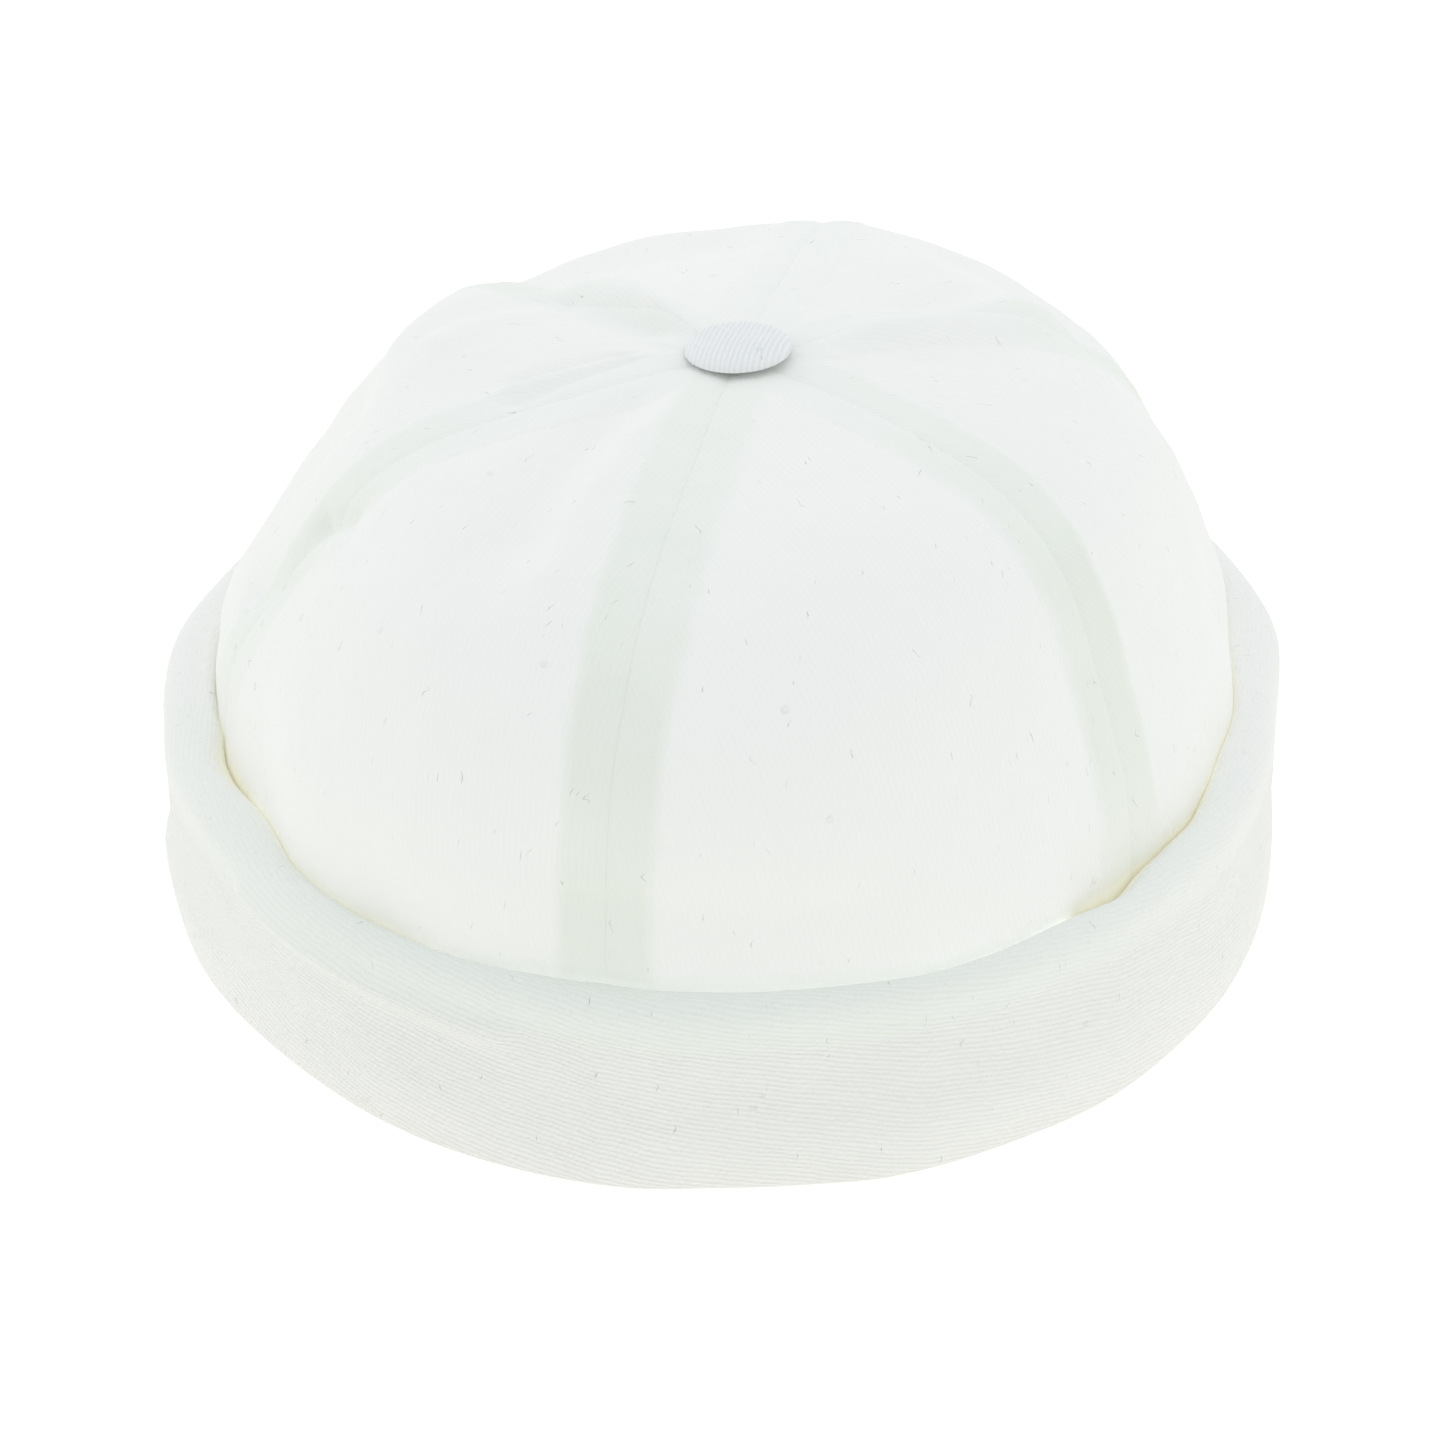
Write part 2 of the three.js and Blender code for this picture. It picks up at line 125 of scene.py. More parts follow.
# Finer creases of the slack cloth
CREASES = table(
    Fold,
    ("left crease, top", 306, 0.557, 299, 0.5, 2.4, -1.3),
    ("left crease, middle", 299, 0.5, 300, 0.43, 2.4, -1.1),
    ("left crease, foot", 300, 0.43, 295, 0.375, 2.8, -1.1),
    ("left crease lip", 308, 0.52, 303, 0.45, 3, 1),
    ("button pleat, upper", 276, 0.89, 290, 0.8, 1.8, -1),
    ("button pleat, lower", 284, 0.9, 300, 0.8, 1.8, -0.9),
    ("button pleat ridge", 280, 0.88, 294, 0.79, 1.8, 0.7),
    ("back left dent", 246, 0.9, 236, 0.79, 5, -2.2),
    ("back left lip", 234, 0.92, 220, 0.76, 3.5, 1.1),
    ("left streak", 248, 0.79, 271, 0.7, 3.2, 0.8),
    ("left streak foot", 252, 0.75, 272, 0.66, 4.5, -0.7),
    ("valley floor", 329, 0.83, 339, 0.7, 3.5, -0.6),
    ("valley ridge", 340, 0.85, 347, 0.66, 3.5, 0.5),
    ("right top dent", 133, 0.83, 140, 0.72, 6, -1.3),
    ("back drag", 196, 0.55, 214, 0.42, 5, -1),
    ("back drag ridge", 190, 0.5, 206, 0.38, 5, 0.8),
    ("right drag", 84, 0.42, 96, 0.3, 5, -0.7),
)

CROWN_ARC = 150  # length of cloth from hem to button
CLOTH_TOP = 0.986  # share of that length where the panels end under the button
STRIP_FOOT, STRIP_TOP = 0.004, 0.964  # and where the strips begin and end
CALM_RISE = 0.12  # share round the button where the folds die out
CROWN_DEGREE = 1.6  # breadth of a degree of azimuth at the crown's hem
CUFF_DEGREE, BACK_DEGREE = 1.76, 1.8  # and at the cuff's outer face, all round and at the back
BAND_SHARE = 0.42  # most of a panel's breadth that the allowance beside a seam takes
STRIP_GAP = 0.3  # between a panel's inner face and the strip under its seam
PUCKER_START, PUCKER_REACH = 0.8, 4.5  # from a seam to where its puckers are full, and fade
JOIN_DEPTH, JOIN_BREADTH = 0.5, 0.7  # groove where the cuff's ends are sewn together
RIBS_ROUND = 684  # whole ribs round the cuff, so that they meet at its join
BUTTON_SLANT = 88  # degrees between the ribs and the front of the button
SHANK_IN_PLATE, SHANK_IN_CUSHION = 0.2 * MM, 0.8 * MM  # how far the shank's ends reach in
TUCK_DEPTH, TUCK_RISE = 1.8, 0.2  # below the cuff's edge, cloth is fully tucked; above it, not
# Painted light and glow on the crown at the cuff's edge, standing for light through the cloth, and
# how it fades
LIT_SHARE, LIT_RISE = 0.38, 2.6  # light through the crown at the cuff's edge, and its fading

# Gentle unevenness of the cloth: height, wavelength, and the seed that its waves are drawn from
Ripple = namedtuple("Ripple", "height wavelength seed")
CROWN_SLACK = Ripple(0.35, 34, 11)
CROWN_RUMPLE = Ripple(0.12, 13, 5)
CUFF_SLACK = Ripple(0.3, 42, 3)
EDGE_WAVE = Ripple(1, 90, 21)  # of the height in the cuff's settings

# How far the cuff's outer face stands out beyond its plain oval, every 30 degrees of azimuth from
# the centre front: at the foot, a third and two thirds of the way up, and at the top edge
CUFF_TURNS = {
    "foot": (1.9, 2.6, 2.7, 1.8, 1, 0.6, 0.4, 0.4, 0.8, 2.2, 0.3, 0.2),
    "waist": (1, 1.6, 1.4, 0.8, 0.5, 0, 0.3, 0, 0.4, 1.3, -0.6, -0.4),
    "shoulder": (0.6, 1, 0.9, 0.4, 1.8, 0.4, 0, 0.2, 0.6, 1.4, -0.7, -0.5),
    "rim": (-0.2, 0.6, 0.4, -1.1, 3.3, 1.2, 0, 0, -1, -1.8, -1.2, -1),
}

# Where the cuff's roll stands off the crown: azimuth, half breadth in degrees, width in millimetres
Slit = namedtuple("Slit", "name azimuth spread width")
SLITS = table(
    Slit,
    ("left", -55, 6.5, 2.2),
    ("left front", -22, 8, 0.8),
    ("right front", 53.5, 5, 2.8),
    ("right", 67, 11, 1.3),
    ("right back", 119, 9, 3.6),
    ("left back", -94, 14, 0.9),
)

# Steps of the button's underside: drop as a share of its height, breadth as a share of its width
BUTTON_UNDERSIDE = (
    (0.25, 0.99), (0.3, 0.955), (0.28, 0.89), (0.22, 0.8), (0.15, 0.62), (0.08, 0.4)
)

# The cuff's own soft folds: azimuth and height of both ends, half breadth, height
CuffFold = namedtuple("CuffFold", "name azimuth height to_azimuth to_height breadth lift")
CUFF_FOLDS = table(
    CuffFold,
    ("ridge under the hem", -38, 30.5, -8, 26.5, 2.6, 1.6),
    ("left waist", -84, 13, -66, 13, 4.5, -1.3),
    ("left front hollow", -50, 13, -26, 11, 6, -0.9),
    ("left foot swell", -70, 6, -50, 7, 5, 0.8),
    ("front ease", -6, 15, 22, 17, 9, -0.6),
    ("front foot ease", 12, 0, 19, 2, 9, -1),
    ("front swell", 20, 10, 48, 14, 7, 0.8),
    ("right waist", 70, 17, 98, 15, 6, -0.7),
    ("back right ease", 128, 14, 150, 20, 8, -0.8),
    ("back swell", 160, 12, 196, 15, 8, 0.6),
    ("back left ease", 214, 20, 240, 12, 8, -0.8),
    ("left rim swell", -100, 27, -74, 29, 6, 0.5),
)


# ---- Settings a user would change ----


def amount(name, description, value, **kind):
    return FloatProperty(name=name, description=description, default=value, **kind)


def length(name, description, millimetres):
    return amount(name, description, millimetres * MM, unit="LENGTH", precision=5)


def angle(name, description, degrees):
    return amount(name, description, math.radians(degrees), subtype="ANGLE")


def number(name, description, count):
    return IntProperty(name=name, description=description, default=count, min=8)


def colour(name, description, value):
    return FloatVectorProperty(
        name=name, description=description, default=value, subtype="COLOR", size=3, min=0, max=1
    )


class CapCrownSettings(PropertyGroup):
    """Sizes of the six crown panels and the strips under their seams"""

    cloth: length("Cloth", "Thickness of the crown's twill", 1.2)
    lean_x: length("Lean sideways", "From the cuff's middle to the crown's, rightwards", 2.5)
    lean_y: length("Lean back", "From the cuff's middle to the crown's, backwards", 3)
    seam_gap: length("Seam gap", "Clearance between two panels at their seam", 0.01)
    puff: length("Puff", "How far a panel bulges between its seams", 2)
    groove: length("Seam groove", "Depth of the valley along a seam", 0.22)
    groove_breadth: length("Groove breadth", "Half breadth of that valley", 0.9)
    band: length("Seam allowance", "Cloth to each side of a seam", 8)
    band_relief: length("Band relief", "Lift of the doubled cloth", 0.3)
    pucker: length("Pucker", "Height of the small puckers along a seam", 0.2)
    pucker_pitch: length("Pucker pitch", "From one pucker to the next", 5.5)
    tape: length("Strip thickness", "Thickness of the strip under a seam", 0.9)
    columns: number("Columns", "Cells across a panel", 104)
    rows: number("Rows", "Cells from hem to button", 128)


class CapCuffSettings(PropertyGroup):
    """Sizes of the turned-up cuff"""

    half_width: length("Half width", "Reach to the wearer's left and right", 99)
    half_length: length("Half length", "Reach to the front and back", 103)
    height: length("Height", "Height of the cuff's top edge", 36)
    wall: length("Wall", "Thickness of the turned-up layers", 3.6)
    roll: length("Roll", "Depth of the rounding over the top edge", 3.2)
    clearance: length("Clearance", "Gap between the crown and the roll", 0.08)
    hem: length("Hem", "Depth of the doubled hem along the top edge", 7.5)
    hem_relief: length("Hem relief", "How far the hem stands proud", 0.4)
    lip: length("Lip", "Thickness of the fold inside the crown", 2.4)
    lip_height: length("Lip height", "Height of that fold", 5.7)
    floor: length("Floor", "Thickness of the bottom fold", 3)
    wave: length("Edge wave", "How far the top edge rises and falls", 0.5)
    sections: number("Sections", "Cells round the cuff", 540)
    steps: number("Steps", "Cells round one section", 160)


class CapButtonSettings(PropertyGroup):
    """Sizes of the covered button"""

    radius: length("Radius", "Half the button's width", 9.1)
    dome: length("Dome", "Height of the dome above its widest ring", 2.4)
    under: length("Underside", "Height of the rounded underside", 0.4)
    seat: length("Seat", "Underside above the crown's top", 0.9)
    tilt: angle("Tilt", "Tip of the right edge upwards", 3)
    shank: length("Shank", "Radius of the shank", 1.8)
    plate: length("Back plate", "Radius of the plate inside the cap", 5.5)
    plate_drop: length("Plate drop", "From the crown's top down to the plate", 2.2)
    plate_thickness: length("Plate thickness", "Thickness of the plate", 1)
    rib: length("Rib height", "Height of the button's ribs", 0.2)
    cells: number("Cells", "Cells across the dome", 112)


class CapClothSettings(PropertyGroup):
    """Weave, and the colours of each kind of cloth"""

    rib_pitch: length("Rib pitch", "From one twill rib to the next", 0.92)
    yarn: length("Yarn", "Breadth of one yarn", 0.42)
    crown: colour("Crown", "Twill of the crown", (0.9, 0.91, 0.9))
    band: colour("Seam bands", "Doubled cloth along the seams", (0.815, 0.855, 0.8))
    cuff: colour("Cuff", "Twill of the cuff", (0.905, 0.911, 0.9))
    # Lighter towards the cuff's foot: painted light from the floor
    foot: colour("Cuff foot", "The cuff towards its foot", (0.955, 0.955, 0.935))
    hem: colour("Cuff hem", "Doubled cloth of the hem", (0.862, 0.898, 0.868))
    button: colour("Button", "Cloth of the button", (0.9, 0.915, 0.945))
    inside: colour("Strips", "Strips inside the crown", (0.9, 0.91, 0.88))
    # Painted light and shade where crown and cuff meet: a lighter tone and a painted glow on the
    # tucked cloth, standing for light through it, and painted warm shade on the parted cloth
    tucked: colour("Tucked cloth", "Cloth where the cuff lies on the crown", (0.92, 0.925, 0.91))
    parted: colour("Parted cloth", "Cloth where they stand apart", (0.89, 0.878, 0.79))
    painted_glow: colour("Glow", "Light through the tucked cloth", (0.27, 0.28, 0.265))
    parted_glow: colour("Parted glow", "Light through the parted cloth", (0.085, 0.082, 0.06))


class CapStageSettings(PropertyGroup):
    """Camera, light and floor"""

    azimuth: angle("Azimuth", "Camera's place round the cap", 12)
    elevation: angle("Elevation", "Camera's height angle", 31)
    dip: angle("Dip", "How far below the cap's middle the camera aims", 1.8)
    distance: length("Distance", "From the cap's middle to the camera", 582)
    aim_height: length("Aim height", "Height of the cap's middle", 43.65)
    lens: amount("Lens", "Focal length in millimetres", 82)
    floor: length("Floor", "Side of the floor", 12000)
    sky: amount("Sky", "Strength of the even light", 0.9)
    sky_tilt: amount("Sky tilt", "Growth of the even light towards the back", 0.08)
    key: amount("Key light", "Watts of the light above", 1.6)
    left: amount("Left light", "Watts of the light at the left", 1.6)
    right: amount("Right light", "Watts of the light at the right", 0.6)


class CapSettings(PropertyGroup):
    """All settings of the docker cap"""

    crown: PointerProperty(type=CapCrownSettings)
    cuff: PointerProperty(type=CapCuffSettings)
    button: PointerProperty(type=CapButtonSettings)
    cloth: PointerProperty(type=CapClothSettings)
    stage: PointerProperty(type=CapStageSettings)


def settings():
    return bpy.context.scene.docker_cap


def crown_axis():
    crown = settings().crown
    return np.array((crown.lean_x, crown.lean_y)) / MM


# ---- Shape of the crown: arrays of azimuth and rise, results in millimetres ----


def smoothstep(value, low, high):
    share = np.clip((value - low) / (high - low), 0, 1)
    return share * share * (3 - 2 * share)


def wrap_degrees(angle):
    return (angle + 180) % 360 - 180


def cubic(before, here, after, beyond, part):
    """Smooth value between the middle two of four values in a row"""
    bend = 3 * (here - after) + beyond - before
    square = 2 * before - 5 * here + 4 * after - beyond
    return here + 0.5 * part * (after - before + part * (square + part * bend))


def smooth_value(values, place):
    """Smooth value at a place in a row of values, or in each place's own row"""

    def pick(index):
        return values[index] if values.ndim == 1 else values[np.arange(len(index)), index]

    last = values.shape[-1] - 1
    index = np.minimum(place.astype(int), last - 1)
    here, after = pick(index), pick(index + 1)
    before = np.where(index > 0, pick(np.maximum(index - 1, 0)), 2 * here - after)
    beyond = np.where(index + 2 <= last, pick(np.minimum(index + 2, last)), 2 * after - here)
    return cubic(before, here, after, beyond, place - index)


def value_along(column, share):
    """Smooth value of a column of the rings at a share of its length"""
    values = np.array(RINGS[column], float)
    return smooth_value(values, np.clip(share, 0, 1) * (len(values) - 1))


def outward(azimuth):
    angle = np.radians(azimuth)
    return np.stack([np.sin(angle), -np.cos(angle), 0 * angle], -1)


def crown_reach(azimuth, rise):
    away = outward(azimuth)
    side = np.where(away[..., 0] >= 0, value_along("right", rise), value_along("left", rise))
    end = np.where(away[..., 1] >= 0, value_along("back", rise), value_along("front", rise))
    side, end = np.maximum(side, 1e-6), np.maximum(end, 1e-6)
    return 1 / np.hypot(away[..., 0] / side, away[..., 1] / end)


def smooth_crown(azimuth, rise):
    point = outward(azimuth) * crown_reach(azimuth, rise)[..., None]
    point[..., :2] += crown_axis()
    point[..., 2] = value_along("height", rise)
    return point


def crown_normal(azimuth, rise):
    turn, climb = 0.1, 0.001
    inside = np.clip(rise, 0.002, 0.985)
    round_step = smooth_crown(azimuth + turn, inside) - smooth_crown(azimuth - turn, inside)
    up_step = smooth_crown(azimuth, inside + climb) - smooth_crown(azimuth, inside - climb)
    normal = np.cross(round_step, up_step)
    return normal / np.linalg.norm(normal, axis=-1, keepdims=True)


def seam_azimuth(index, rise):
    """Azimuth of seams; an index past the last seam goes round again"""
    hem, top = (np.array(column)[index % PANELS] for column in list(zip(*SEAMS))[1:3])
    turns = 360 * (index // PANELS)
    return turns + hem + (top - hem) * np.clip(1.25 * rise, 0, 1) ** 2


def fold_fade(across, along, line_across, line_along, breadth):
    """1 on a line from 0, 0 to line_across, line_along, fading to both sides of it"""
    squared = line_across**2 + line_along**2
    share = np.clip((across * line_across + along * line_along) / squared, 0, 1)
    distance = (across - share * line_across) ** 2 + (along - share * line_along) ** 2
    return np.exp(-distance / breadth**2)


def fold_height(fold, azimuth, rise):
    """How far a fold of the crown lifts its cloth"""
    degree = CROWN_DEGREE * np.sqrt(np.maximum(1 - rise * rise, 0))
    end_degree = CROWN_DEGREE * math.sqrt(max(1 - fold.to_rise**2, 0))
    across = wrap_degrees(azimuth - fold.azimuth) * degree
    along = (rise - fold.rise) * CROWN_ARC
    line_across = wrap_degrees(fold.to_azimuth - fold.azimuth) * end_degree
    line_along = (fold.to_rise - fold.rise) * CROWN_ARC
    return fold.height * fold_fade(across, along, line_across, line_along, fold.breadth)


def unevenness(point, ripple):
    """Height of a ripple at points in space: a sum of plane waves, drawn from its seed"""
    chance = np.random.default_rng(ripple.seed)
    total = 0
    for _ in range(9):
        way = chance.normal(size=3)
        wavelength = ripple.wavelength * chance.uniform(0.7, 1.4)
        way *= 2 * math.pi / (wavelength * np.linalg.norm(way))
        total = total + np.sin(point @ way + chance.uniform(0, 2 * math.pi))
    return ripple.height * total / 3.2


def crown_cloth(panel, share, rise, depth=0.0):
    """Points of the panels' cloth, and their distance from the nearest seam. share runs from
    one seam to the next, and depth is how far the points lie inside the outer face."""
    crown = settings().crown
    left, right = seam_azimuth(panel, rise), seam_azimuth(panel + 1, rise)
    azimuth = left + (right - left) * share
    millimetres = np.radians(1) * crown_reach(azimuth, rise)
    near = np.minimum(azimuth - left, right - azimuth) * millimetres
    seam_left = (azimuth - left) <= (right - azimuth)
    seam = np.where(seam_left, panel, panel + 1) % PANELS
    smooth = smooth_crown(azimuth, rise)

    bulge = np.sin(math.pi * np.clip(share, 0, 1))
    lift = crown.puff / MM * (bulge - 0.5) * np.sin(math.pi * np.clip(rise, 0, 1)) ** 0.7
    calm = smoothstep(1 - rise, 0, CALM_RISE)
    folds = sum(fold_height(fold, azimuth, rise) for fold in FOLDS + CREASES)
    slack = unevenness(smooth, CROWN_SLACK) + unevenness(smooth, CROWN_RUMPLE)
    lift = lift + calm * (folds + slack)

    half_band = np.minimum(crown.band / MM, BAND_SHARE * (right - left) * millimetres)
    band = 1 - smoothstep(near, half_band - 0.7, half_band + 0.7)
    lift = lift + crown.band_relief / MM * band * calm
    lift = lift - crown.groove / MM * np.exp(-((near * MM / crown.groove_breadth) ** 2)) * calm

    along = rise * CROWN_ARC
    beat = 2 * math.pi * along / (crown.pucker_pitch / MM)
    beat = beat + 1.3 * np.sin(along / 9.0 + 2.1 * seam) + 1.9 * seam
    strength = 0.55 + 0.45 * np.sin(along / 17.0 + 1.7 * seam)
    strength = strength * np.exp(-near / PUCKER_REACH) * (1 - np.exp(-near / PUCKER_START))
    lift = lift + crown.pucker / MM * np.sin(beat) * strength * calm
    point = smooth + crown_normal(azimuth, rise) * (lift - depth)[..., None]
    return point, near


def band_show(panel, share, rise):
    """How plainly the doubled cloth of the nearest seam shows: less towards the button"""
    shows = [SEAMS[(panel + side) % PANELS].show for side in (0, 1)]
    foot = 0.6 + 0.4 * smoothstep(rise, 0.2, 0.45)
    from_foot = np.where(np.where(share < 0.5, panel, panel + 1) % PANELS == 0, 1, foot)
    return np.where(share < 0.5, *shows) * from_foot * (1 - 0.65 * smoothstep(rise, 0.45, 0.9))


# ---- Modelling helpers ----


def deselect():
    bpy.ops.object.select_all(action="DESELECT")


def select(*pieces):
    deselect()
    for piece in pieces:
        piece.select_set(True)
    bpy.context.view_layer.objects.active = pieces[0]


def name_piece(name):
    piece = bpy.context.object
    piece.name = piece.data.name = name
    return piece


def vertex_points(piece):
    points = np.empty(3 * len(piece.data.vertices))
    piece.data.vertices.foreach_get("co", points)
    return points.reshape(-1, 3)


def move_points(piece, millimetres):
    piece.data.vertices.foreach_set("co", (millimetres * MM).astype(np.float32).ravel())
    piece.data.update()


def corner_points(piece):
    """The vertex at each corner of each face"""
    corners = np.empty(len(piece.data.loops), int)
    piece.data.loops.foreach_get("vertex_index", corners)
    return corners


def lay_cloth_map(piece, across, along):
    """Writes the cloth map from the places of the faces' corners on the flat cloth"""
    layer = piece.data.uv_layers[0]
    layer.name = CLOTH_MAP
    flat = np.stack([across, along], -1)
    layer.uv.foreach_set("vector", flat.astype(np.float32).ravel())


def lay_flat_map(piece, across, along):
    """Writes the cloth map from the vertices' places on the flat cloth, in millimetres"""
    corners = corner_points(piece)
    lay_cloth_map(piece, across[corners], along[corners])


def lay_ring_map(piece, turn, run, circumference):
    """Cloth map of a ring: round the ring, and along its section. Faces that cross the start of
    either way carry on past it."""
    quads = corner_points(piece).reshape(-1, 4)
    around, along = turn[quads] / 360, run[quads]
    around = np.where(around - around.max(1, keepdims=True) < -0.5, around + 1, around)
    total = run.max()
    along = np.where(along - along.max(1, keepdims=True) < -0.5 * total, along + total, along)
    lay_cloth_map(piece, around * circumference, along)


def mark_points(piece, **marks):
    """Writes values at the vertices as attributes of the same names"""
    for name, values in marks.items():
        layer = piece.data.attributes.new(name, "FLOAT", "POINT")
        layer.data.foreach_set("value", values.astype(np.float32))


def cloth_grid(name, columns, rows):
    """A flat grid of cells with the shares 0 to 1 of its points across and along"""
    deselect()
    bpy.ops.mesh.primitive_grid_add(x_subdivisions=columns, y_subdivisions=rows, size=1)
    piece = name_piece(name)
    shares = vertex_points(piece)[:, :2] + 0.5
    return piece, shares[:, 0], shares[:, 1]


def modify(piece, kind, **values):
    """Adds a modifier to the active piece and applies it"""
    modifier = piece.modifiers.new(kind, kind)
    for name, value in values.items():
        setattr(modifier, name, value)
    bpy.ops.object.modifier_apply(modifier=kind)


def give_thickness(piece, thickness):
    modify(piece, "SOLIDIFY", thickness=thickness, offset=-1, use_quality_normals=True)


def finish_piece(piece, material, slot, *nodes):
    """Smooths a finished piece, dresses it and puts it in the frame in place of its nodes"""
    if "rib_show" not in piece.data.attributes:
        mark_points(piece, rib_show=np.ones(len(piece.data.vertices)))
    select(piece)
    bpy.ops.object.shade_smooth_by_angle(angle=math.radians(50))
    piece.data.materials.append(material)
    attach(piece, "root")
    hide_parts(*nodes)


# ---- Finishes ----


def wire_math(operation, swapped=False):
    """A method of Wire that adds a Math node on the wire and another value"""

    def method(wire, other):
        return wire.nodes.math(operation, *((other, wire) if swapped else (wire, other)))

    return method


class Wire:
    """A value in a node tree; arithmetic on it adds Math nodes"""

    __add__ = __radd__ = wire_math("ADD")
    __sub__, __rsub__ = wire_math("SUBTRACT"), wire_math("SUBTRACT", swapped=True)
    __mul__ = __rmul__ = wire_math("MULTIPLY")
    __truediv__, __rtruediv__ = wire_math("DIVIDE"), wire_math("DIVIDE", swapped=True)
    __pow__, __rpow__ = wire_math("POWER"), wire_math("POWER", swapped=True)

    def __init__(self, nodes, socket):
        self.nodes = nodes
        self.socket = socket

    def output(self, name):
        return Wire(self.nodes, self.socket.node.outputs[name])

    def sine(self):
        return self.nodes.math("SINE", self)


class Nodes:
    """A node tree that is written as expressions"""

    def __init__(self, tree):
        self.tree = tree

    def node(self, kind, inputs=None, output=0, **settings):
        node = self.tree.nodes.new(kind)
        for name, value in settings.items():
            setattr(node, name, value)
        for socket, value in (inputs or {}).items():
            self.feed(node.inputs[socket], value)
        return Wire(self, node.outputs[output] if node.outputs else None)

    def feed(self, socket, value):
        if isinstance(value, Wire):
            self.tree.links.new(value.socket, socket)
        else:
            socket.default_value = value

    def math(self, operation, *values):
        return self.node("ShaderNodeMath", dict(enumerate(values)), operation=operation)

    def vector_math(self, operation, first, second, socket=1):
        inputs = {0: first, socket: second}
        return self.node("ShaderNodeVectorMath", inputs, operation=operation)

    def step(self, value, low, high):
        """0 below low, 1 above high and smooth between them"""
        inputs = {"Value": value, "From Min": low, "From Max": high}
        return self.node("ShaderNodeMapRange", inputs, interpolation_type="SMOOTHSTEP")

    def mix(self, factor, first, second):
        """Colour between two colours"""
        rgb = [c if isinstance(c, Wire) else (*c, 1) for c in (first, second)]
        inputs = {0: factor, 6: rgb[0], 7: rgb[1]}
        return self.node("ShaderNodeMix", inputs, 2, data_type="RGBA")

    def attribute(self, name):
        return self.node("ShaderNodeAttribute", output="Fac", attribute_name=name)

    def noise(self, place, scale, detail=2.0, output=0):
        inputs = {"Vector": place, "Scale": scale, "Detail": detail}
        return self.node("ShaderNodeTexNoise", inputs, output)

    def spots(self, place, scale, **settings):
        """Distance to the nearest of scattered points, and that point's own chance"""
        inputs = {"Vector": place, "Scale": scale}
        near = self.node("ShaderNodeTexVoronoi", inputs, **settings)
        return near, self.node("ShaderNodeSeparateColor", {0: near.output("Color")})


class Finish(Nodes):
    """One material's node tree, ending in its Principled shader"""

    def __init__(self, name, **constants):
        self.material = bpy.data.materials.new(name)
        self.material.use_nodes = True
        super().__init__(self.material.node_tree)
        self.shader = self.tree.nodes["Principled BSDF"]
        for socket, value in constants.items():
            self.shader.inputs[socket.replace("_", " ")].default_value = value

    def shade(self, socket, value):
        self.feed(self.shader.inputs[socket], value)


